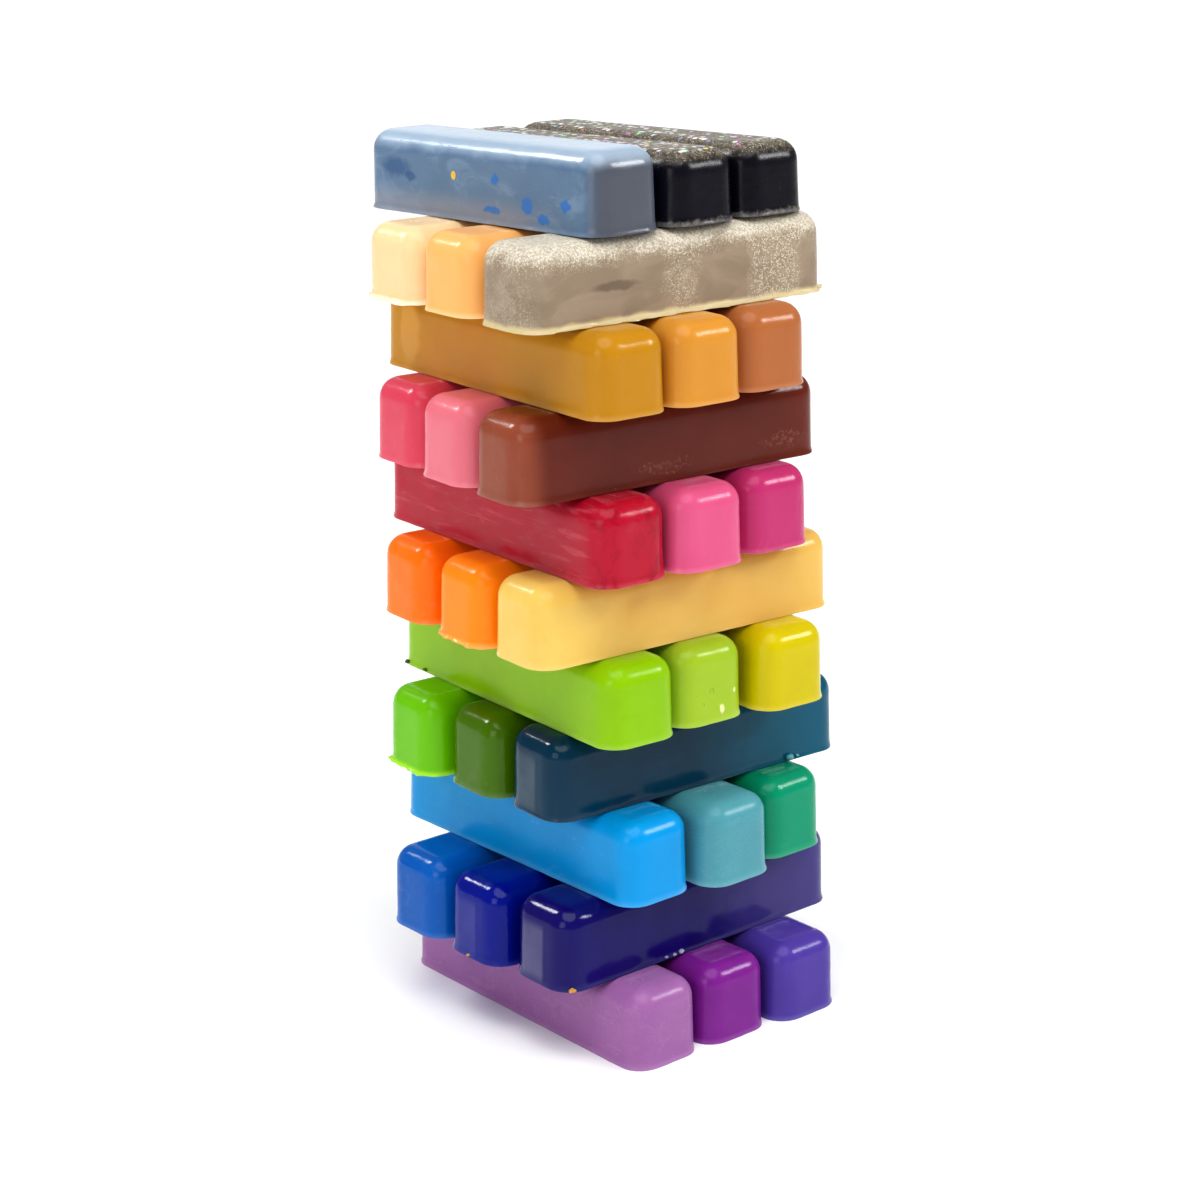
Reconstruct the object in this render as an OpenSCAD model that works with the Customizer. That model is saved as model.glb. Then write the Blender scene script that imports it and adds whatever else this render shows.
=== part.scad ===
// Tumbling tower of cast wax blocks.
// Eleven layers of three blocks. Each layer lies across the one below it.
// Every block is cast in the same open tray mould, so it has drafted walls, rounded
// upright corners, a rounded top edge and a thin pour lip round its flat foot.
// +Z is up. The origin is the centre of the foot of the middle block of the bottom layer.

/* [Block] */
// Length of a block at the foot of its walls
block_l = 74.6; // [40:0.1:300]
// Width of a block at the foot of its walls
block_w = 17.8; // [12:0.1:80]
// Radius of the upright corners at the foot of the walls
corner_r = 5; // [2:0.1:6]
// Radius of the rounded top edge
top_r = 4.4; // [1:0.1:5]
// Lean of the walls, from the mould's draft
draft = 1.5; // [0:0.1:3]
// How far the pour lip stands out past the walls
lip_out = 0.2; // [0.1:0.05:1]
// Thickness of the pour lip
lip_t = 0.8; // [0.4:0.1:2]

/* [Stack] */
// Height of the blocks in each layer, bottom layer first: how full the mould was poured
layer_h = [16.2, 16.8, 16.8, 16.6, 16.4, 16.2, 16.2, 16.4, 16.2, 16, 16]; // [12:0.1:40]
// How much lower than its layer each left block was poured
low_left = [0, 0, 0, 0, 0, 0, 0, 0, 0, 1, 0]; // [0:0.1:4]
// How much lower than its layer each middle block was poured
low_middle = [0, 0, 0, 0, 0, 0, 0, 0, 0, 0.6, 1.8]; // [0:0.1:4]
// How much lower than its layer each right block was poured
low_right = [0, 0, 0, 0, 0, 0, 0, 0, 0, 0, 1.8]; // [0:0.1:4]
// Least clearance between the lips of two blocks that lie side by side
side_gap = 0.3; // [0.2:0.1:3]
// Clearance between a foot and the tops it lies on, since a pour face bears on a few high spots
seat_gap = 0.05; // [0.02:0.01:0.3]
// Extra room left of the middle block in each layer
room_left = [0, 0.5, 0.5, 0, 0, 1.7, 0, 0.5, 0.2, 0.5, 0.5]; // [0:0.1:5]
// Extra room right of the middle block in each layer
room_right = [0, 0, 0, 0, 1.2, 0, 0.7, 0.3, 0, 1.5, 0]; // [0:0.1:5]
// Turn of each layer from square to the bottom one
layer_turn = [0, 0, 0.5, -3.5, -3.5, -4, -3, -4, -3.5, -2.5, -1]; // [-5:0.5:5]
// Shift of each layer towards +X
layer_x = [0, -1, 2.5, 2, 1, -0.5, -1, -1.5, -1, -0.5, 4.5]; // [-8:0.5:8]
// Shift of each layer towards +Y
layer_y = [0, 1.5, 4.5, 5, 5, 2.5, 5.5, 4.5, 5.5, 6, 15]; // [-16:0.5:16]
// How far each left block is pushed along its own length
push_left = [0.5, -1.5, 1, -2, 0, -0.5, 0, 0.5, -0.5, 0, 0]; // [-8:0.5:8]
// How far each middle block is pushed along its own length
push_middle = [0, -1, -2.5, 1, 1.5, -0.5, -1, -1, -0.5, 0, -0.5]; // [-8:0.5:8]
// How far each right block is pushed along its own length
push_right = [-2, 1.5, 1, 3, -1, 0.5, 1.5, -1, 2, -0.5, 0]; // [-8:0.5:8]

/* [Hidden] */
$fn = 96;

// Places across a layer, as seen from its near end
LEFT = 1;
MIDDLE = 0;
RIGHT = -1;

// Spacing of the blocks across a layer when they stand as close as they may
pitch = block_w + 2 * lip_out + side_gap;
// Narrowest flat that the round top edge leaves beside the axis of a corner
least_flat = 0.05;

// Height of a block: its layer's, less what it was poured low
function block_h(layer, row) =
    layer_h[layer] - (row == LEFT ? low_left[layer] : row == RIGHT ? low_right[layer] : low_middle[layer]);

// How far a block lies left of the middle of its layer
function across(layer, row) =
    row * (pitch + (row == LEFT ? room_left[layer] : row == RIGHT ? room_right[layer] : 0));

// How far a block is pushed along its own length
function push(layer, row) =
    row == LEFT ? push_left[layer] : row == RIGHT ? push_right[layer] : push_middle[layer];

// Heading of the blocks in a layer: the bottom one and every second one above it lie along Y
function heading(layer) = layer_turn[layer] + (layer % 2 == 0 ? 90 : 0);

// Fall to the left across the tops of a layer, from its right block to its left one
function fall(layer) =
    (block_h(layer, RIGHT) - block_h(layer, LEFT)) / (across(layer, LEFT) - across(layer, RIGHT));

// Height over the middle of a layer at which the next one lies on the far edges of its flat tops
function rise(layer) =
    max([for (row = [LEFT, MIDDLE, RIGHT]) block_h(layer, row) + fall(layer) * across(layer, row)])
    + abs(fall(layer)) * (block_w / 2 - top_r)
    + seat_gap;

// Radius of the top edge, limited by what the corner leaves at the top of a block h high
function edge_r(h) = min(top_r, (corner_r - h * tan(draft) - least_flat) / (1 / cos(draft) - tan(draft)));

// Half section of a block from the upright axis of its corner outwards: a flat foot,
// the lip, the leaning wall, the round top edge and the flat top.
module edge_section(h) {
    r = edge_r(h);
    lean = tan(draft);
    arc_x = corner_r - (h - r) * lean - r / cos(draft);
    arc_z = h - r;
    polygon([
        [0, 0],
        [corner_r + lip_out, 0],
        [corner_r + lip_out, lip_t],
        [corner_r - lip_t * lean, lip_t],
        [arc_x + r * cos(draft), arc_z + r * sin(draft)],
        [arc_x, arc_z],
        [arc_x, h],
        [0, h]
    ]);
    intersection() {
        translate([arc_x, arc_z])
            circle(r = r);
        polygon([
            [arc_x, arc_z],
            [arc_x + 2 * r * cos(draft), arc_z + 2 * r * sin(draft)],
            [arc_x + 2 * r, arc_z + 2 * r],
            [arc_x, arc_z + 2 * r]
        ]);
    }
}

// A quarter of a round post: one upright corner of the block
module corner_post(h) {
    rotate_extrude(angle = 90)
        edge_section(h);
}

// One straight side of the block, run long, with its outer face towards +X
module side_wall(h, run) {
    translate([0, run / 2, 0])
        rotate([90, 0, 0])
            linear_extrude(height = run)
                edge_section(h);
}

// One cast block: its length along X, centred, with its foot at z = 0
module block(h) {
    core_l = block_l - 2 * corner_r;
    core_w = block_w - 2 * corner_r;
    translate([-core_l / 2, -core_w / 2, 0])
        cube([core_l, core_w, h]);
    for (turn = [0, 180]) {
        rotate([0, 0, turn]) {
            translate([core_l / 2, 0, 0])
                side_wall(h, core_w);
            translate([0, core_w / 2, 0])
                rotate([0, 0, 90])
                    side_wall(h, core_l);
            translate([core_l / 2, core_w / 2, 0])
                corner_post(h);
            translate([-core_l / 2, core_w / 2, 0])
                rotate([0, 0, 90])
                    corner_post(h);
        }
    }
}

// Puts its children on the tops of a layer, tipped as those tops let them lie
module on_top_of(layer) {
    middle = [layer_x[layer], layer_y[layer], 0];
    translate(middle + [0, 0, rise(layer)])
        rotate([0, 0, heading(layer)])
            rotate([-atan(fall(layer)), 0, 0])
                rotate([0, 0, -heading(layer)])
                    translate(-middle)
                        children();
}

// Puts its children where the feet of a layer stand, on all the layers below it
module seat(layer) {
    if (layer == 0)
        children();
    else
        seat(layer - 1)
            on_top_of(layer - 1)
                children();
}

// A block in its place. The layers are counted from 1.
module place(number, row) {
    layer = number - 1;
    seat(layer)
        translate([layer_x[layer], layer_y[layer], 0])
            rotate([0, 0, heading(layer)])
                translate([push(layer, row), across(layer, row), 0])
                    block(block_h(layer, row));
}

// Layer 1: stands on the floor
module block_01_left_lavender() {
    color("#b583cf")
        place(1, LEFT);
}
module block_01_middle_purple() {
    color("#7b1f9c")
        place(1, MIDDLE);
}
module block_01_right_violet() {
    color("#6f47c6")
        place(1, RIGHT);
}

// Layer 2
module block_02_left_blue() {
    color("#1d7fe0")
        place(2, LEFT);
}
module block_02_middle_ultramarine() {
    color("#1420b8")
        place(2, MIDDLE);
}
module block_02_right_indigo() {
    color("#2c1d94")
        place(2, RIGHT);
}

// Layer 3
module block_03_left_sky() {
    color("#10a6ee")
        place(3, LEFT);
}
module block_03_middle_powder() {
    color("#69b3bf")
        place(3, MIDDLE);
}
module block_03_right_emerald() {
    color("#22a873")
        place(3, RIGHT);
}

// Layer 4
module block_04_left_bright_green() {
    color("#62d81c")
        place(4, LEFT);
}
module block_04_middle_olive() {
    color("#5d8f24")
        place(4, MIDDLE);
}
module block_04_right_teal() {
    color("#12566f")
        place(4, RIGHT);
}

// Layer 5
module block_05_left_lime() {
    color("#9fd91e")
        place(5, LEFT);
}
module block_05_middle_leaf() {
    color("#a6d63f")
        place(5, MIDDLE);
}
module block_05_right_yellow() {
    color("#f3e81c")
        place(5, RIGHT);
}

// Layer 6
module block_06_left_deep_orange() {
    color("#fb7a14")
        place(6, LEFT);
}
module block_06_middle_orange() {
    color("#fd8f1f")
        place(6, MIDDLE);
}
module block_06_right_butter() {
    color("#f3dc78")
        place(6, RIGHT);
}

// Layer 7
module block_07_left_crimson() {
    color("#cf2846")
        place(7, LEFT);
}
module block_07_middle_pink() {
    color("#ec6db4")
        place(7, MIDDLE);
}
module block_07_right_magenta() {
    color("#d8379f")
        place(7, RIGHT);
}

// Layer 8
module block_08_left_coral() {
    color("#ea4f74")
        place(8, LEFT);
}
module block_08_middle_light_pink() {
    color("#f78bb6")
        place(8, MIDDLE);
}
module block_08_right_brown() {
    color("#8f4a37")
        place(8, RIGHT);
}

// Layer 9
module block_09_left_mustard() {
    color("#d99b25")
        place(9, LEFT);
}
module block_09_middle_amber() {
    color("#eda64c")
        place(9, MIDDLE);
}
module block_09_right_terracotta() {
    color("#cf8649")
        place(9, RIGHT);
}

// Layer 10
module block_10_left_cream() {
    color("#f6e3b9")
        place(10, LEFT);
}
module block_10_middle_peach() {
    color("#f7bd78")
        place(10, MIDDLE);
}
module block_10_right_taupe() {
    color("#a2937e")
        place(10, RIGHT);
}

// Layer 11: lifts off, nothing lies on it
module block_11_left_grey_blue() {
    color("#7d98b8")
        place(11, LEFT);
}
module block_11_middle_black() {
    color("#24222a")
        place(11, MIDDLE);
}
module block_11_right_jet() {
    color("#201e25")
        place(11, RIGHT);
}

block_01_left_lavender();
block_01_middle_purple();
block_01_right_violet();
block_02_left_blue();
block_02_middle_ultramarine();
block_02_right_indigo();
block_03_left_sky();
block_03_middle_powder();
block_03_right_emerald();
block_04_left_bright_green();
block_04_middle_olive();
block_04_right_teal();
block_05_left_lime();
block_05_middle_leaf();
block_05_right_yellow();
block_06_left_deep_orange();
block_06_middle_orange();
block_06_right_butter();
block_07_left_crimson();
block_07_middle_pink();
block_07_right_magenta();
block_08_left_coral();
block_08_middle_light_pink();
block_08_right_brown();
block_09_left_mustard();
block_09_middle_amber();
block_09_right_terracotta();
block_10_left_cream();
block_10_middle_peach();
block_10_right_taupe();
block_11_left_grey_blue();
block_11_middle_black();
block_11_right_jet();
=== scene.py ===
import math

import bmesh
import bpy
from mathutils import Euler, Matrix, Vector, noise
from mathutils.geometry import box_fit_2d


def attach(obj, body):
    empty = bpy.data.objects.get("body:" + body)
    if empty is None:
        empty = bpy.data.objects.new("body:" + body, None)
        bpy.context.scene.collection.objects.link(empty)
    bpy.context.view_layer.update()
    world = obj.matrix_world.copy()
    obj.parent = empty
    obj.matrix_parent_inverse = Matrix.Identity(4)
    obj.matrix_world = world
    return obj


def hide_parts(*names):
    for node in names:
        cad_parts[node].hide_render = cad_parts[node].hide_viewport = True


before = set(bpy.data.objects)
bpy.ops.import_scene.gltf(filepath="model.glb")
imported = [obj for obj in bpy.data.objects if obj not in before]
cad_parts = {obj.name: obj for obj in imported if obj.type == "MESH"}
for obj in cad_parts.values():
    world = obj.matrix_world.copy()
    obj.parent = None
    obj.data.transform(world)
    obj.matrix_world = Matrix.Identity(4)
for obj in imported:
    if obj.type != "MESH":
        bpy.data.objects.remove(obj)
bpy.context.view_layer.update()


# ---- Camera ----
# A still camera on a tripod a little above the tower and off its near corner, so that both the
# odd layers' ends and the even layers' ends show.
camera = bpy.data.objects.new("camera", bpy.data.cameras.new("camera"))
bpy.context.scene.collection.objects.link(camera)
camera.location = (-0.3432, -0.3964, 0.2429)
look_down = math.radians(16.76)
look_right = math.radians(40.48)
roll = math.radians(-0.5)
aim = Euler((math.pi / 2 - look_down, 0, -look_right)).to_matrix()
camera.rotation_euler = (aim @ Matrix.Rotation(roll, 3, "Z")).to_euler()
camera.data.lens = 79.8
camera.data.sensor_width = 36
camera.data.clip_start = 0.01
bpy.context.scene.camera = camera


# ---- Floor and light ----
# A plain white table under studio light: a pale tent all round, a softbox high on the right, one
# high behind on the left that makes the top edges shine, a low fill on the left and a lit wall.
def area_light(name, place, target_height, size, power):
    """A square softbox at place that faces the tower's middle line at a height."""
    light = bpy.data.lights.new(name, "AREA")
    light.size = size
    light.energy = power
    lamp = bpy.data.objects.new(name, light)
    lamp.location = place
    way = Vector((0, 0, target_height)) - Vector(place)
    lamp.rotation_euler = way.to_track_quat("-Z", "Y").to_euler()
    bpy.context.scene.collection.objects.link(lamp)


tower_middle = 0.09
tower_top = 0.17
area_light("softbox_right", (0.56, -0.54, 0.54), tower_middle, 0.20, 2.4)
area_light("softbox_left", (-0.30, 0.66, 0.70), tower_middle, 0.18, 2.4)
area_light("fill_left", (-0.95, -0.35, 0.38), tower_middle, 0.50, 1.9)
area_light("back_wall", (1.90, 2.20, 1.20), tower_top, 2.0, 7.9)

sun = bpy.data.objects.new("skylight", bpy.data.lights.new("skylight", "SUN"))
sun.data.energy = 2.05
sun.data.angle = math.radians(60)
sun.rotation_euler = (math.radians(18), math.radians(-10), 0)
bpy.context.scene.collection.objects.link(sun)

tent = bpy.data.worlds.new("tent")
tent.use_nodes = True
tent_light = tent.node_tree.nodes["Background"]
tent_light.inputs["Color"].default_value = (1, 1, 1, 1)
tent_light.inputs["Strength"].default_value = 0.3
bpy.context.scene.world = tent
bpy.context.scene.view_settings.view_transform = "Standard"
bpy.context.scene.view_settings.look = "Medium High Contrast"

floor_mesh = bpy.data.meshes.new("floor")
half = 6
floor_mesh.from_pydata(
    [(-half, -half, 0), (half, -half, 0), (half, half, 0), (-half, half, 0)],
    [], [(0, 1, 2, 3)])
floor = bpy.data.objects.new("floor", floor_mesh)
bpy.context.scene.collection.objects.link(floor)
floor_paint = bpy.data.materials.new("floor_paint")
floor_paint.use_nodes = True
floor_coat = floor_paint.node_tree.nodes["Principled BSDF"]
floor_coat.inputs["Base Color"].default_value = (0.92, 0.92, 0.92, 1)
floor_coat.inputs["Roughness"].default_value = 0.7
floor_mesh.materials.append(floor_paint)


# ---- The castings ----
# Every block is poured in the same open tray mould: drafted walls, round upright corners, a round
# top edge where the mould's floor was, and at the foot the thin feathered lip of the pour face.
MM = 0.001
FULL_H = 16.0       # depth of the full mould, which the places in the mould are scaled to
CORNER_R = 5.0      # upright corner at the foot
TOP_R = 4.4         # top edge
DRAFT = math.radians(1.5)
LIP = 0.2           # usual lip all round
LIP_TOP = 0.95      # where the lip ends and the plain wall starts
SHRINK = 0.03       # how far the top sank as the wax cooled
SIDE_STEPS = 58     # stations along a long wall
END_STEPS = 12      # stations across an end
CORNER_STEPS = 7    # stations round a corner
WALL_STEPS = 12     # rings up a wall
TOP_STEPS = 9       # rings round the top edge


def lie_of(node):
    """Where a block lies: the middle of its foot in metres, its three directions (away from its
    near end, to its left and up) and its length, width and height in millimetres."""
    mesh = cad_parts[node].data
    feet = [face for face in mesh.polygons if face.normal.z < -0.99]
    up = -sum((face.normal * face.area for face in feet), Vector()).normalized()
    tip = up.rotation_difference(Vector((0, 0, 1)))
    points = [tip @ v.co for v in mesh.vertices]
    low = min(p.z for p in points)
    foot = [p.xy for p in points if p.z < low + 1e-5]
    turn = -box_fit_2d([tuple(p) for p in foot])
    options = [turn + k * math.pi / 2 for k in range(4)]

    def reach(angle):
        spots = [p.x * math.cos(angle) + p.y * math.sin(angle) for p in foot]
        return max(spots) - min(spots)

    lengthwise = [a for a in options if reach(a) > reach(a + math.pi / 2)]
    heading = max(lengthwise, key=lambda a: math.cos(a) + math.sin(a))
    middle = Vector(((min(p.x for p in foot) + max(p.x for p in foot)) / 2,
                     (min(p.y for p in foot) + max(p.y for p in foot)) / 2, low))
    sizes = reach(heading), reach(heading + math.pi / 2), max(p.z for p in points) - low
    upright = tip.inverted()
    along = upright @ Vector((math.cos(heading), math.sin(heading), 0))
    across = upright @ Vector((-math.sin(heading), math.cos(heading), 0))
    return upright @ middle, (along, across, up), [size / MM for size in sizes]


def stations():
    """Points round a ring: each is a share of the core rectangle's half length, a share of its
    half width and the outward direction there."""
    walls = [((1, -1), (1, 1), END_STEPS), ((1, 1), (-1, 1), SIDE_STEPS),
             ((-1, 1), (-1, -1), END_STEPS), ((-1, -1), (1, -1), SIDE_STEPS)]
    found = []
    for quarter, (start, end, steps) in enumerate(walls):
        out = quarter * math.pi / 2
        for k in range(steps):
            share = k / steps
            found.append((start[0] + (end[0] - start[0]) * share,
                          start[1] + (end[1] - start[1]) * share, out))
        for k in range(CORNER_STEPS):
            found.append((end[0], end[1], out + k / CORNER_STEPS * math.pi / 2))
    return found


def cast(node, seed, near=0.0, far=0.0, left=0.0, right=0.0, sunk=0.12):
    """One casting. near, far, left and right are how far the pour lip feathers out past the
    walls there, in millimetres; sunk is how far the walls drew in as the wax cooled."""
    middle, (along, across, up), (length, width, height) = lie_of(node)
    length -= 2 * LIP
    width -= 2 * LIP
    shift = Vector((seed * 37.1, seed * 11.3, seed * 5.7))
    arc_in = (height - TOP_R) * math.tan(DRAFT) + TOP_R / math.cos(DRAFT)
    deepest = width / 2 - 0.7

    # Each ring is how far in from the foot of the wall, its height, how much of the lip it has
    # and how much of the cooling it shows. The first four are the pour face, a little hollow.
    rings = [(deepest, 0.30, 0, 0), (6.0, 0.28, 0, 0), (3.2, 0.16, 0, 0), (1.2, 0.04, 0, 0),
             (0.3, 0.0, 0.7, 0), (0.0, 0.0, 1, 0), (0.0, 0.16, 1.02, 0), (0.0, 0.36, 0.62, 0),
             (0.0, 0.62, 0.22, 0.3), (0.02, LIP_TOP, 0, 0.7)]
    wall_top = height - TOP_R + TOP_R * math.sin(DRAFT)
    for k in range(1, WALL_STEPS + 1):
        z = LIP_TOP + (wall_top - LIP_TOP) * k / WALL_STEPS
        rings.append((z * math.tan(DRAFT), z, 0, 1))
    for k in range(1, TOP_STEPS + 1):
        angle = DRAFT + (math.pi / 2 - DRAFT) * k / TOP_STEPS
        z = height - TOP_R + TOP_R * math.sin(angle) - SHRINK
        rings.append((arc_in - TOP_R * math.cos(angle), z, 0, 1 - 0.5 * k / TOP_STEPS))
    for inset in (5.6, 6.8, deepest):
        rings.append((inset, height - SHRINK, 0, 0.3))

    points = stations()
    shape = bmesh.new()
    mould = shape.verts.layers.float_vector.new("mould")
    loops = []
    for inset, z, lip, cooled in rings:
        r = max(CORNER_R - inset, 0.4)
        half_l = length / 2 - inset - r
        half_w = width / 2 - inset - r
        loop = []
        for su, sv, out in points:
            nu, nv = math.cos(out), math.sin(out)
            u = su * half_l + nu * r
            v = sv * half_w + nv * r
            place = Vector((u, v, z)) + shift
            feather = (near * max(0, -nu) ** 2 + far * max(0, nu) ** 2
                       + left * max(0, nv) ** 2 + right * max(0, -nv) ** 2)
            ragged = 0.5 + 0.9 * noise.noise(place * 0.55) + 0.5 * noise.noise(place * 1.7)
            feather *= min(max(ragged, 0.08), 1.25)
            edge = LIP * (0.75 + 0.5 * noise.noise(place * 0.3)) + feather
            drawn = sunk * (0.5 + noise.noise(place * 0.06) + 0.35 * noise.noise(place * 0.21))
            reach = lip * edge - cooled * max(drawn, 0)
            u += nu * reach
            v += nv * reach
            # The upper side of a wide lip curls up a little.
            curl = lip * max(0, edge - 0.35) * 0.25 if z > 0.1 else 0
            spot = middle + (along * u + across * v + up * (z + curl)) * MM
            vert = shape.verts.new(spot)
            vert[mould] = (u, v, z * FULL_H / height)
            loop.append(vert)
        loops.append(loop)
    for lower, upper in zip(loops, loops[1:]):
        for k in range(len(points)):
            shape.faces.new((lower[k - 1], lower[k], upper[k], upper[k - 1]))
    shape.faces.new(loops[0][::-1])
    shape.faces.new(loops[-1])
    for face in shape.faces:
        face.smooth = True
    shape.normal_update()
    mesh = bpy.data.meshes.new(node + "_cast")
    shape.to_mesh(mesh)
    shape.free()
    mesh.set_sharp_from_angle(angle=math.radians(55))
    return mesh


# ---- Wax ----
# Cast wax is a satin, slightly see-through solid. Its colour drifts a little through the pour,
# thin lips look paler, a dusty bloom lies in patches, and the skin has ripples and pin holes.
class Wire:
    """One output of a shader tree. Sums and products of it add Math nodes."""

    def __init__(self, pot, socket):
        self.pot = pot
        self.socket = socket

    def maths(self, operation, first, second):
        return self.pot.node("ShaderNodeMath", {"operation": operation}, {0: first, 1: second})

    def __add__(self, other):
        return self.maths("ADD", self, other)

    def __radd__(self, other):
        return self.maths("ADD", other, self)

    def __sub__(self, other):
        return self.maths("SUBTRACT", self, other)

    def __rsub__(self, other):
        return self.maths("SUBTRACT", other, self)

    def __mul__(self, other):
        return self.maths("MULTIPLY", self, other)

    def __rmul__(self, other):
        return self.maths("MULTIPLY", other, self)

class Pot:
    """One pot of wax: a material and the nodes that mix it."""

    def __init__(self, name):
        self.material = bpy.data.materials.new(name)
        self.material.use_nodes = True
        self.tree = self.material.node_tree
        self.tree.nodes.clear()

    def node(self, kind, settings=None, sockets=None, out=0):
        """Adds a node, sets it, fills or links its sockets and returns one of its outputs."""
        made = self.tree.nodes.new(kind)
        for key, value in (settings or {}).items():
            setattr(made, key, value)
        for key, value in (sockets or {}).items():
            if isinstance(value, Wire):
                self.tree.links.new(value.socket, made.inputs[key])
            else:
                made.inputs[key].default_value = value
        return Wire(self, made.outputs[out]) if len(made.outputs) else None

    def mix(self, share, first, second):
        """first where share is 0 and second where it is 1, as colours."""
        return self.node("ShaderNodeMix", {"data_type": "RGBA"}, {0: share, 6: first, 7: second}, 2)

    def rise(self, value, low, high):
        """0 below low and 1 above high, with a smooth step between them."""
        return self.node("ShaderNodeMapRange", {"interpolation_type": "SMOOTHSTEP"},
                         {0: value, 1: low, 2: high, 3: 0.0, 4: 1.0})

    def moved(self, place, shift, stretch=(1, 1, 1)):
        """A place in the mould, stretched and then shifted."""
        return self.node("ShaderNodeVectorMath", {"operation": "MULTIPLY_ADD"},
                         {0: place, 1: stretch, 2: shift})

    def cloud(self, place, size, detail=3.0, rough=0.5, warp=0.0):
        """Soft noise from 0 to 1 with blotches of about size millimetres."""
        return self.node("ShaderNodeTexNoise", None,
                         {"Vector": place, "Scale": 1 / size, "Detail": detail, "Roughness": rough,
                          "Distortion": warp})

    def ragged(self, place, size, amount):
        """A place in the mould, pushed about by noise."""
        push = self.node("ShaderNodeTexNoise", None, {"Vector": place, "Scale": 1 / size}, 1)
        offset = self.moved(push, [-amount] * 3, [2 * amount] * 3)
        return self.node("ShaderNodeVectorMath", {"operation": "ADD"}, {0: place, 1: offset})

    def spot(self, place, middle, halves, soft=0.4):
        """1 inside an egg with the given middle and half sizes, and 0 outside it."""
        shift = [-m / h for m, h in zip(middle, halves)]
        egg = self.moved(place, shift, [1 / h for h in halves])
        away = self.node("ShaderNodeVectorMath", {"operation": "LENGTH"}, {0: egg}, 1)
        return 1 - self.rise(away, 1 - soft, 1.0)

    def band(self, value, low, high, soft):
        """1 between low and high and 0 outside them."""
        over_low = self.rise(value, low - soft, low + soft)
        return over_low * (1 - self.rise(value, high - soft, high + soft))

    def parts_of(self, vector):
        """The three parts of a vector."""
        split = self.node("ShaderNodeSeparateXYZ", None, {0: vector})
        return [Wire(self, output) for output in split.socket.node.outputs]

    def flecks(self, place, size, share):
        """Glitter: flecks of about size millimetres in the given share of the places, and a
        vector of three chance numbers for each fleck."""
        sockets = {"Vector": place, "Scale": 1 / size}
        chance = self.node("ShaderNodeTexVoronoi", None, sockets, 1)
        away = self.node("ShaderNodeTexVoronoi", None, sockets)
        picked = self.rise(self.parts_of(chance)[0], 0.98 - share, 1.02 - share)
        return picked * (1 - self.rise(away, 0.3, 0.5)), chance


def tone(code):
    """A colour from its six-digit code, as linear light."""
    parts = [int(code[k:k + 2], 16) / 255 for k in (1, 3, 5)]
    return [((c + 0.055) / 1.055) ** 2.4 if c > 0.04045 else c / 12.92 for c in parts] + [1.0]


def wax(name, seed, base, deep=None, pale=None, drift=0.35, bloom=0.1, lip=0.12, rough=0.2,
        glow=0.12, gloss=0.27, pits=0.25, ripple=0.35, floor_reflection=0.0, extra=None):
    """A wax. base is its colour, deep its darker patches and pale its bloom and lips. drift,
    bloom, lip, pits and ripple are how strongly each shows, and rough, glow and gloss are the
    skin's own. floor_reflection is how strongly a painted reflection of the bright floor greys the
    flat of the near end. extra may add more on top: it takes the pot, a place in the wax, the
    place in the mould, and the colour, roughness and bump so far, and gives those three back."""
    pot = Pot(name)
    base = tone(base)
    deep = tone(deep) if deep else [c * 0.72 for c in base[:3]] + [1.0]
    pale = tone(pale) if pale else [c * 0.6 + 0.4 for c in base[:3]] + [1.0]
    mould = pot.node("ShaderNodeAttribute", {"attribute_name": "mould"}, out=1)
    place = pot.moved(mould, (seed * 31.7, seed * 17.9, seed * 7.3))
    along, across, height = pot.parts_of(mould)

    blotch = pot.rise(pot.cloud(place, 14, 4.0, 0.55, 0.6), 0.38, 0.72)
    colour = pot.mix(blotch * drift, base, deep)
    dust_place = pot.moved(place, (3.1, 8.2, 1.4), (0.35, 1, 1))
    dust = pot.rise(pot.cloud(dust_place, 3.2, 6.0, 0.68, 0.8), 0.52, 0.78)
    patch = pot.rise(pot.cloud(place, 22, 2.0), 0.45, 0.62)
    colour = pot.mix(dust * patch * bloom, colour, pale)
    foot = 1 - pot.rise(height, 0.2, 1.3)
    colour = pot.mix(foot * lip, colour, pale)
    # Painted reflection: when set, the flat of the near end is mixed towards a paler grey of its own
    # colour, standing in for the bright floor mirrored in it.
    if floor_reflection:
        reflection_patch = pot.band(across, -1.5, 5.0, 0.6) * pot.band(height, 0.8, 11.4, 1.2)
        reflection_patch = reflection_patch * (1 - pot.rise(along, -36.4, -35.6)) * (0.3 + pot.cloud(place, 6) * 1.2)
        colour = pot.mix(reflection_patch * floor_reflection, colour, [0.2 + c * 0.8 for c in base[:3]] + [1.0])

    grain = pot.cloud(place, 0.35, 4.0, 0.6)
    swell = pot.cloud(place, 6.5, 2.0)
    roughness = (rough + (grain - 0.5) * 0.12 + dust * patch * (0.25 * min(1.0, bloom * 3))
                 + (swell - 0.5) * 0.1)
    hole_sockets = {"Vector": place, "Scale": 0.42, "Randomness": 1.0}
    hole = 1 - pot.rise(pot.node("ShaderNodeTexVoronoi", None, hole_sockets), 0.05, 0.11)
    bump = swell * (1.6 * ripple) + grain * 0.035 - hole * (0.5 * pits) + dust * (0.05 * bloom)
    if extra:
        colour, roughness, bump = extra(pot, place, mould, colour, roughness, bump)
    normal = pot.node("ShaderNodeBump", None, {"Strength": 0.55, "Distance": 0.00045, "Height": bump})
    skin = pot.node("ShaderNodeBsdfPrincipled", None, {
        "Base Color": colour, "Roughness": roughness, "Normal": normal, "IOR": 1.45,
        "Specular IOR Level": gloss, "Subsurface Weight": glow,
        "Subsurface Radius": (1.0, 0.8, 0.6), "Subsurface Scale": 0.0022})
    pot.node("ShaderNodeOutputMaterial", None, {0: skin})
    return pot.material


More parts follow.
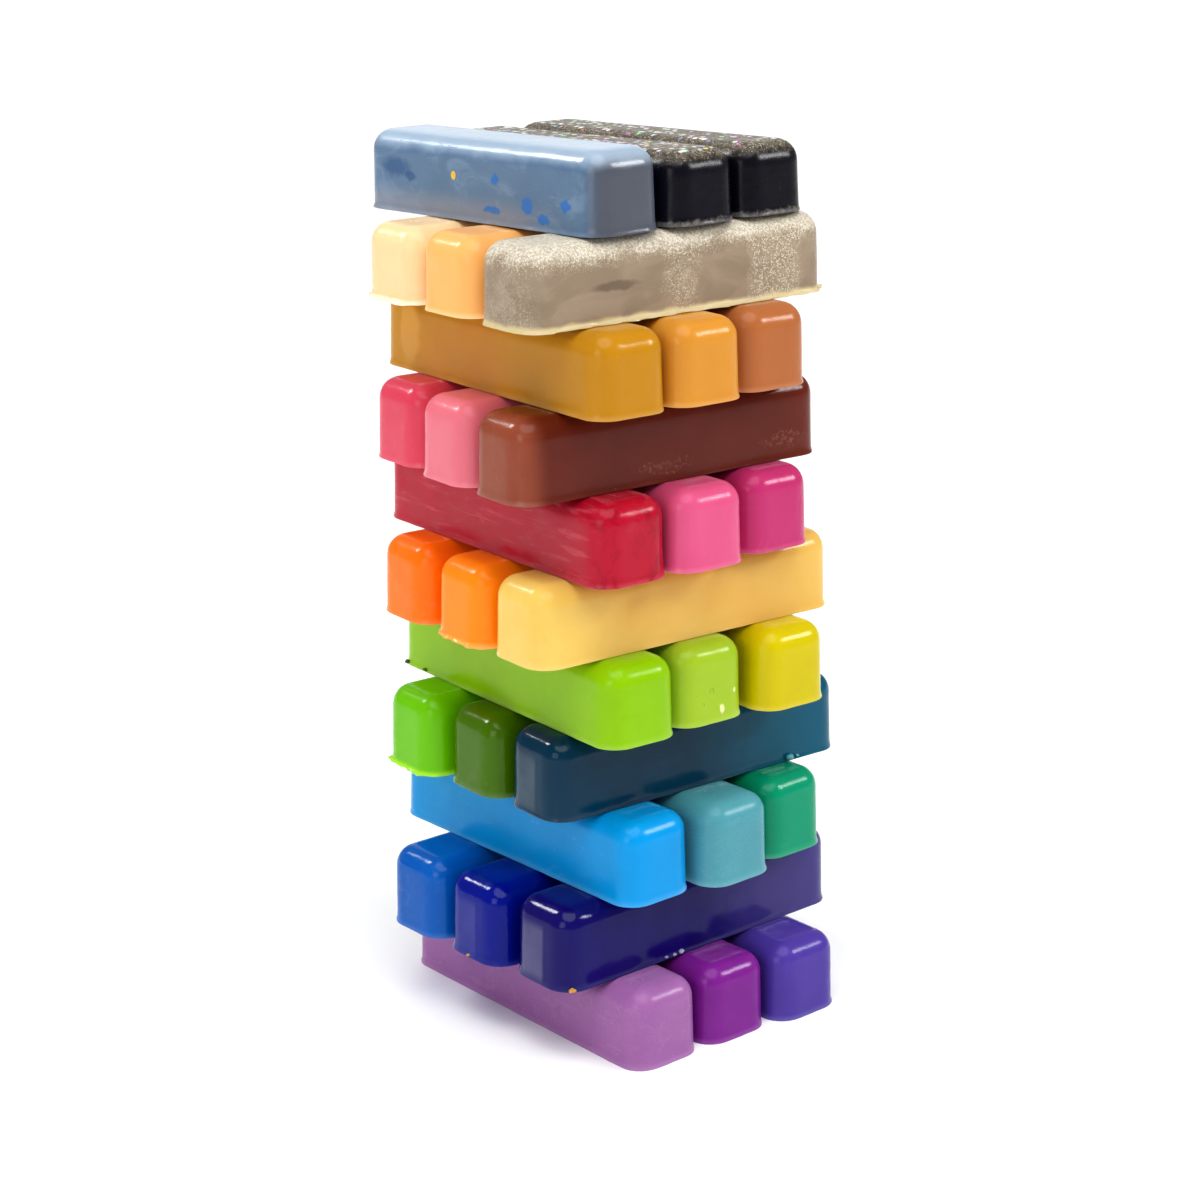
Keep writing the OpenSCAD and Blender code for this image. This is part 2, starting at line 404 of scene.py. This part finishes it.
def lay(node, mesh, material):
    """Lays a finished casting in the tower in place of its plain block."""
    mesh.materials.append(material)
    piece = bpy.data.objects.new(node.replace("block_", "wax_"), mesh)
    bpy.context.scene.collection.objects.link(piece)
    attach(piece, node)
    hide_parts(node)


# ---- Layer 1 ----
# The three castings on the table: lavender, purple and violet. Plain soft wax, a little cloudy
# from handling, with clean lips.
lay("block_01_left_lavender", cast("block_01_left_lavender", 1),
    wax("lavender", 1, "#9c689f", deep="#8c5892", bloom=0.06, rough=0.26))
lay("block_01_middle_purple", cast("block_01_middle_purple", 2),
    wax("purple", 2, "#7c248a", deep="#6c167a"))
lay("block_01_right_violet", cast("block_01_right_violet", 3),
    wax("violet", 3, "#523e98", deep="#453488"))


# ---- Layer 2 ----
# Blue, ultramarine and indigo: strong dark dyes that hide the inside of the wax, so the skin
# is smooth and shiny and hardly glows.
def far_reflection(code, share):
    """An extra for wax(): a painted reflection, another, paler colour mixed over the far half of the
    block.
    """
    def over(pot, place, mould, colour, roughness, bump):
        along = pot.parts_of(mould)[0]
        far = pot.rise(along + (pot.cloud(place, 9) - 0.5) * 16, -6, 24)
        return pot.mix(far * share, colour, tone(code)), roughness, bump
    return over


lay("block_02_left_blue", cast("block_02_left_blue", 4),
    wax("blue", 4, "#005cb0", deep="#004e9a", rough=0.15))
# The ultramarine and indigo carry a painted reflection of the floor on the flat of the near end, and
# the indigo also a paler painted reflection over its far half.
lay("block_02_middle_ultramarine", cast("block_02_middle_ultramarine", 5),
    wax("ultramarine", 5, "#001482", deep="#000c68", bloom=0.03, lip=0.05, rough=0.11,
        glow=0.02, floor_reflection=0.16))
lay("block_02_right_indigo", cast("block_02_right_indigo", 6),
    wax("indigo", 6, "#150a62", deep="#08034a", bloom=0.03, lip=0.05, rough=0.12,
        glow=0.02, floor_reflection=0.38, extra=far_reflection("#5c5292", 0.5)))


# ---- Layer 3 ----
# Sky blue, powder teal and emerald. The powder teal has chalk in it and is duller.
lay("block_03_left_sky", cast("block_03_left_sky", 7),
    wax("sky", 7, "#0094d6", deep="#0086c4", rough=0.24))
lay("block_03_middle_powder", cast("block_03_middle_powder", 8),
    wax("powder", 8, "#5496a2", deep="#478996", bloom=0.12, rough=0.26))
lay("block_03_right_emerald", cast("block_03_right_emerald", 9),
    wax("emerald", 9, "#00906c", deep="#008260"))


# ---- Layer 4 ----
# Bright green, olive and dark teal. The green one was poured too full, so its near end has a
# thick bright lip.
lay("block_04_left_bright_green", cast("block_04_left_bright_green", 10, near=1.3, left=0.6),
    wax("bright_green", 10, "#6cba00", deep="#5caa00", pale="#b8f04a", lip=0.6))
lay("block_04_middle_olive", cast("block_04_middle_olive", 11),
    wax("olive", 11, "#456c00", deep="#385a00", rough=0.13))
# The dark teal carries a painted reflection of the floor on the flat of its near end and a paler
# painted reflection over its far half.
lay("block_04_right_teal", cast("block_04_right_teal", 12),
    wax("teal", 12, "#00344c", deep="#00283e", bloom=0.03, lip=0.05, rough=0.12,
        glow=0.02, floor_reflection=0.22, extra=far_reflection("#00647f", 0.6)))


# ---- Layer 5 ----
# Lime, leaf green and yellow. The leaf green one has a few burst bubbles and a pale drip at the
# foot of its near end.
def drips(pot, place, mould, colour, roughness, bump):
    rough_place = pot.ragged(mould, 1.5, 0.5)
    drip = pot.spot(rough_place, (-37.2, -1.8, 2.4), (2.5, 0.7, 1.3))
    drip = drip + pot.spot(rough_place, (-37.2, -5.2, 5.6), (2.5, 0.5, 0.8))
    bubble = pot.spot(mould, (-37.2, 0.8, 6.4), (2.0, 0.7, 0.7))
    bubble = bubble + pot.spot(mould, (-37.2, 3.0, 4.1), (2.0, 0.45, 0.45))
    colour = pot.mix(drip * 0.7, colour, tone("#eef3b8"))
    return colour, roughness, bump + drip * 0.8 - bubble * 1.0


lay("block_05_left_lime", cast("block_05_left_lime", 13),
    wax("lime", 13, "#8abc00", deep="#7cac00"))
lay("block_05_middle_leaf", cast("block_05_middle_leaf", 14),
    wax("leaf", 14, "#9cba2e", deep="#8fac24", bloom=0.15, extra=drips))
lay("block_05_right_yellow", cast("block_05_right_yellow", 15),
    wax("yellow", 15, "#c6b600", deep="#baa800"))


# ---- Layer 6 ----
# Deep orange, orange and butter yellow. The orange one has flash at the left of its foot, and
# the butter one is mottled gold along its side, painted as shade that makes the side darker than its
# near end.
def mottled_side_shade(pot, place, mould, colour, roughness, bump):
    along = pot.parts_of(mould)[0]
    # Painted shade: the side, away from the near end, is mixed in blotches towards a darker gold.
    gold = (0.45 + pot.cloud(place, 14, 3.0, 0.5)) * pot.rise(along, -36, -12)
    return pot.mix(gold * 0.5, colour, tone("#d09a4a")), roughness, bump


lay("block_06_left_deep_orange", cast("block_06_left_deep_orange", 16),
    wax("deep_orange", 16, "#f8760c", deep="#ee6604"))
lay("block_06_middle_orange", cast("block_06_middle_orange", 17, near=1.0, left=0.5),
    wax("orange", 17, "#fb8a14", deep="#f27c0c", pale="#ffbe70", lip=0.5))
lay("block_06_right_butter", cast("block_06_right_butter", 18),
    wax("butter", 18, "#e4c268", deep="#dfb14a", bloom=0.15, extra=mottled_side_shade))


# ---- Layer 7 ----
# Crimson, pink and magenta. The crimson one has long streaks of pale bloom on its left side and
# darker blotches on its near end.
def streaks(pot, place, mould, colour, roughness, bump):
    along = pot.parts_of(mould)[0]
    long_place = pot.moved(place, (0, 0, 0), (0.12, 0.6, 1))
    streak = pot.rise(pot.cloud(long_place, 1.6, 5.0, 0.65, 0.4), 0.5, 0.7)
    side = pot.rise(along, -36, -32)
    blotch = pot.rise(pot.cloud(place, 4.5, 4.0, 0.6, 1.0), 0.5, 0.62) * (1 - side)
    colour = pot.mix(streak * side * 0.2, colour, tone("#e88a94"))
    colour = pot.mix(blotch * 0.5, colour, tone("#8e0c26"))
    return colour, roughness + streak * side * 0.12, bump


lay("block_07_left_crimson", cast("block_07_left_crimson", 19),
    wax("crimson", 19, "#b01230", deep="#9e0a28", extra=streaks))
lay("block_07_middle_pink", cast("block_07_middle_pink", 20),
    wax("pink", 20, "#d25a84", deep="#ca4a78"))
lay("block_07_right_magenta", cast("block_07_right_magenta", 21),
    wax("magenta", 21, "#b8366e", deep="#ac2a60"))


# ---- Layer 8 ----
# Coral, light pink and brown. The brown one is milk chocolate at its near end and painted darker
# and redder along its side as shade, where pale scuffs show.
def side_shade_and_scuffs(pot, place, mould, colour, roughness, bump):
    along = pot.parts_of(mould)[0]
    side = pot.rise(along, -36, -30)
    ragged = pot.ragged(mould, 2.5, 1.6)
    scuff = pot.spot(ragged, (27, -9.0, 4.0), (7, 3, 2.0))
    scuff = scuff + pot.spot(ragged, (-3, -9.0, 3.0), (8, 3, 1.6))
    fine = pot.rise(pot.cloud(place, 0.7, 5.0, 0.75), 0.45, 0.7)
    # Painted shade: the whole side, away from the near end, is darkened to a deep red-brown.
    colour = pot.mix(side * 0.85, colour, tone("#581608"))
    colour = pot.mix(scuff * fine * 0.3, colour, tone("#b98a74"))
    return colour, roughness + scuff * fine * 0.2, bump


lay("block_08_left_coral", cast("block_08_left_coral", 22),
    wax("coral", 22, "#d24a60", deep="#c63a52"))
lay("block_08_middle_light_pink", cast("block_08_middle_light_pink", 23),
    wax("light_pink", 23, "#da7482", deep="#d26474"))
lay("block_08_right_brown", cast("block_08_right_brown", 24),
    wax("brown", 24, "#8e4a34", deep="#80402a", extra=side_shade_and_scuffs, glow=0.05))


# ---- Layer 9 ----
# Mustard, amber and terracotta, seen through more than the others: the mustard one is darker
# and more orange where its inside shows, half way along its side.
def inside(pot, place, mould, colour, roughness, bump):
    ragged = pot.ragged(mould, 9, 5.0)
    core = pot.spot(ragged, (6, 9, 6), (24, 12, 9), 0.9)
    window = pot.spot(ragged, (27, 9, 8), (5, 12, 9), 0.4)
    colour = pot.mix(core * 0.55, colour, tone("#c4842a"))
    return pot.mix(window * 0.25, colour, tone("#e8b060")), roughness, bump


lay("block_09_left_mustard", cast("block_09_left_mustard", 25),
    wax("mustard", 25, "#ba8418", deep="#ae7a12", glow=0.2, extra=inside))
lay("block_09_middle_amber", cast("block_09_middle_amber", 26),
    wax("amber", 26, "#ce9038", deep="#c6842c", glow=0.2))
lay("block_09_right_terracotta", cast("block_09_right_terracotta", 27),
    wax("terracotta", 27, "#ac6a3e", deep="#a05e32"))


# ---- Layer 10 ----
# Cream, peach and taupe. The cream one's foot has a feathery flash. The taupe one has glitter:
# it froze as a pale sparkling frost along the top edges and in bands down the side, with
# smooth patches between them, a dark smudge and a ragged gold lip.
def frost(pot, place, mould, colour, roughness, bump):
    height = pot.parts_of(mould)[2]
    ragged = pot.parts_of(pot.ragged(mould, 5, 3.0))
    edge = pot.rise(ragged[2], 9.5, 14.5)
    bands = pot.band(ragged[0], -4, 3, 1.5) * 0.55 + pot.band(ragged[0], 17, 29, 2.0) * 0.7
    bands = bands + (1 - pot.rise(ragged[0], -38, -33)) * 0.3
    whole = edge + bands * (1 - edge)
    long_place = pot.moved(place, (5, 2, 9), (0.5, 1, 1))
    patches = pot.rise(pot.cloud(long_place, 7, 3.0, 0.5, 0.8), 0.42, 0.6)
    fleck = pot.flecks(place, 0.34, 0.5)[0]
    fine = pot.rise(pot.cloud(place, 0.6, 4.0, 0.7), 0.4, 0.65)
    colour = pot.mix(patches * 0.35, colour, tone("#766651"))
    colour = pot.mix(whole * fine * 0.5, colour, tone("#cfc4a8"))
    colour = pot.mix(whole * fleck * 0.85, colour, tone("#f4eedc"))
    crest = pot.rise(ragged[2] + pot.cloud(place, 1.5, 4.0, 0.6) * 2, 12.5, 15.5)
    colour = pot.mix(crest * (0.3 + fine * 0.4), colour, tone("#ece6d6"))
    smudge = pot.spot(pot.ragged(mould, 4, 0.8), (-17, -9, 7), (7, 6, 1.3), 0.5)
    colour = pot.mix(smudge * 0.75, colour, tone("#6b5c4c"))
    gold = 1 - pot.rise(height + pot.cloud(place, 5, 3.0) * 1.6, 1.4, 2.4)
    colour = pot.mix(gold * 0.65, colour, tone("#dccb98"))
    roughness = roughness + whole * 0.2 - fleck * whole * 0.2
    return colour, roughness, bump + whole * fine * 0.25 + fleck * whole * 0.1


lay("block_10_left_cream", cast("block_10_left_cream", 28, near=1.4, left=0.8),
    wax("cream", 28, "#f4d2a2", deep="#eec48e", pale="#fffaf0", lip=0.5, bloom=0.25, glow=0.25))
lay("block_10_middle_peach", cast("block_10_middle_peach", 29),
    wax("peach", 29, "#f4b46c", deep="#eea65a", pale="#ffe4c0", lip=0.35, glow=0.2))
lay("block_10_right_taupe", cast("block_10_right_taupe", 30, near=0.3, far=1.5, right=0.8),
    wax("taupe", 30, "#9c8b78", deep="#8e7d69", rough=0.24, extra=frost))


# ---- Layer 11 ----
# Grey blue and two blacks with glitter. The grey-blue one has smears of dye in it, a
# gold dot, a slate-grey end and a painted highlight along its top edges. Glitter rose to the mould
# side of the blacks, so their tops are full of coloured flecks and their top edges sparkle silver
# under a painted beige sheen.
def smears(pot, place, mould, colour, roughness, bump):
    along, across, height = pot.parts_of(mould)
    ragged = pot.ragged(mould, 2.2, 1.1)
    dark = pot.spot(ragged, (26, 9, 9), (6, 5, 2.6), 0.6)
    dark = dark + pot.spot(ragged, (21, 9, 7.4), (2.5, 5, 1.2), 0.6)
    blue = pot.spot(ragged, (-17, 9, 4.4), (2.2, 5, 1.7))
    for middle, halves in (((-22, 9, 2.2), (2.4, 5, 1.0)), ((-28.5, 9, 5.2), (2.0, 5, 1.3)),
                           ((-7, 9, 8.6), (1.5, 5, 1.3)), ((-6, 9, 2.8), (3.5, 5, 0.8))):
        blue = blue + pot.spot(ragged, middle, halves)
    dot = pot.spot(mould, (6.5, 9, 8.6), (0.9, 5, 1.0), 0.3)
    long_place = pot.moved(place, (0, 0, 0), (0.5, 1, 1))
    cloudy = pot.rise(pot.cloud(long_place, 6, 3.0, 0.6, 1.0), 0.45, 0.7)
    warm = (1 - pot.rise(height, 1.5, 6)) * pot.rise(along, -30, -10)
    end = 1 - pot.rise(along, -37, -33)
    crest = pot.rise(height + pot.cloud(place, 7) * 2.5, 13.2, 16.4)
    colour = pot.mix(cloudy * 0.35, colour, tone("#8ba3ba"))
    colour = pot.mix(warm * 0.35, colour, tone("#a79c98"))
    colour = pot.mix(end * 0.95, colour, tone("#54565f"))
    colour = pot.mix(dark * 0.75, colour, tone("#27507f"))
    colour = pot.mix(blue * 0.85, colour, tone("#1e6cb8"))
    # Painted highlight: a pale blue-white band along the top edges stands in for the light they
    # catch.
    colour = pot.mix(crest * 0.6, colour, tone("#b9cbdc"))
    return pot.mix(dot, colour, tone("#e0b83a")), roughness, bump


def glitter(pot, place, mould, colour, roughness, bump):
    ragged_height = pot.parts_of(pot.ragged(mould, 2, 1.0))[2]
    rim_glitter_and_sheen = pot.rise(ragged_height, 12.8, 15.4)
    top = pot.rise(pot.parts_of(mould)[2], 15.2, 15.8)
    dust = pot.rise(pot.cloud(place, 1.1, 5.0, 0.7), 0.4, 0.62)
    silver = pot.flecks(place, 0.4, 0.5)[0]
    confetti, chance = pot.flecks(pot.ragged(place, 0.5, 0.25), 1.5, 0.6)
    chances = pot.parts_of(chance)
    bright = pot.node("ShaderNodeCombineColor", {"mode": "HSV"},
                      {0: chances[1], 1: chances[2] * 0.9, 2: 0.9})
    # Painted sheen: a smooth beige wash along the top edges stands in for the light they catch; the
    # silver flecks on them are glitter.
    colour = pot.mix(rim_glitter_and_sheen * (0.25 + dust * 0.35), colour, tone("#8f8470"))
    colour = pot.mix(rim_glitter_and_sheen * silver * 0.6, colour, tone("#c9c2b0"))
    colour = pot.mix(top * confetti * 0.9, colour, bright)
    foot = 1 - pot.rise(ragged_height, 0.8, 1.6)
    colour = pot.mix(foot * dust * 0.3, colour, tone("#a59c90"))
    return colour, roughness + rim_glitter_and_sheen * 0.18, bump + rim_glitter_and_sheen * silver * 0.12 + top * confetti * 0.2


lay("block_11_left_grey_blue", cast("block_11_left_grey_blue", 31, left=0.2),
    wax("grey_blue", 31, "#5e7894", deep="#526c88", rough=0.22, glow=0.2, gloss=0.45,
        extra=smears))
lay("block_11_middle_black", cast("block_11_middle_black", 32),
    wax("black", 32, "#0e0c18", deep="#08070f", bloom=0.04, lip=0.2, rough=0.25, glow=0,
        extra=glitter))
lay("block_11_right_jet", cast("block_11_right_jet", 33),
    wax("jet", 33, "#0d0b16", deep="#07060e", bloom=0.04, lip=0.2, rough=0.25, glow=0,
        extra=glitter))


# ---- Crumbs ----
# Crumbs and beads that broke off the lips and stuck to the feet of the blocks. Each is a small
# uneven lump of wax and stays with the block it clings to.
def crumb(name, node, place, size, material, seed):
    """A lump of about size millimetres at a place in the mould of a block."""
    middle, (along, across, up) = lie_of(node)[:2]
    lump = bmesh.new()
    bmesh.ops.create_icosphere(lump, subdivisions=3, radius=size / 2)
    mould = lump.verts.layers.float_vector.new("mould")
    for vert in lump.verts:
        spot = vert.co * (1 + 0.5 * noise.noise(vert.co * 1.6 / size + Vector((seed * 3.3, 0, 0))))
        vert[mould] = Vector(place) + spot
        spot = Vector(place) + Vector((spot.x * 1.3, spot.y, spot.z * 0.8))
        vert.co = middle + (along * spot.x + across * spot.y + up * spot.z) * MM
    for face in lump.faces:
        face.smooth = True
    mesh = bpy.data.meshes.new(name)
    lump.to_mesh(mesh)
    lump.free()
    mesh.materials.append(material)
    piece = bpy.data.objects.new(name, mesh)
    bpy.context.scene.collection.objects.link(piece)
    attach(piece, node)


gold = wax("gold_crumb", 40, "#b98a3e", pale="#f0dca8", bloom=0.6)
pale_teal = wax("pale_teal_crumb", 41, "#4f9fa8", bloom=0.4)
dark_green = wax("dark_green_crumb", 42, "#3c5a18", bloom=0.2)
dusty = wax("dusty_crumb", 43, "#9a93b4", bloom=0.6)
crumb("crumb_gold_corner", "block_02_right_indigo", (-35.2, -8.4, 0.6), 1.2, gold, 1)
crumb("crumb_gold_end", "block_02_middle_ultramarine", (-37.4, 0.4, 0.5), 0.7, gold, 2)
crumb("crumb_teal_side", "block_04_right_teal", (23.0, -9.1, 0.9), 1.5, pale_teal, 3)
crumb("crumb_teal_small", "block_04_right_teal", (25.2, -9.0, 0.7), 0.8, pale_teal, 4)
crumb("crumb_green_far", "block_05_left_lime", (34.0, 9.0, 0.6), 1.0, dark_green, 5)
crumb("crumb_green_near", "block_05_left_lime", (27.0, 9.0, 0.5), 0.9, dark_green, 6)
crumb("crumb_dusty_long", "block_02_right_indigo", (-6.5, -9.0, 0.6), 1.1, dusty, 7)
crumb("crumb_dusty_round", "block_02_right_indigo", (-8.4, -9.0, 0.5), 0.7, dusty, 8)
crumb("crumb_dusty_low", "block_02_right_indigo", (-10.6, -9.0, 0.5), 0.8, dusty, 9)
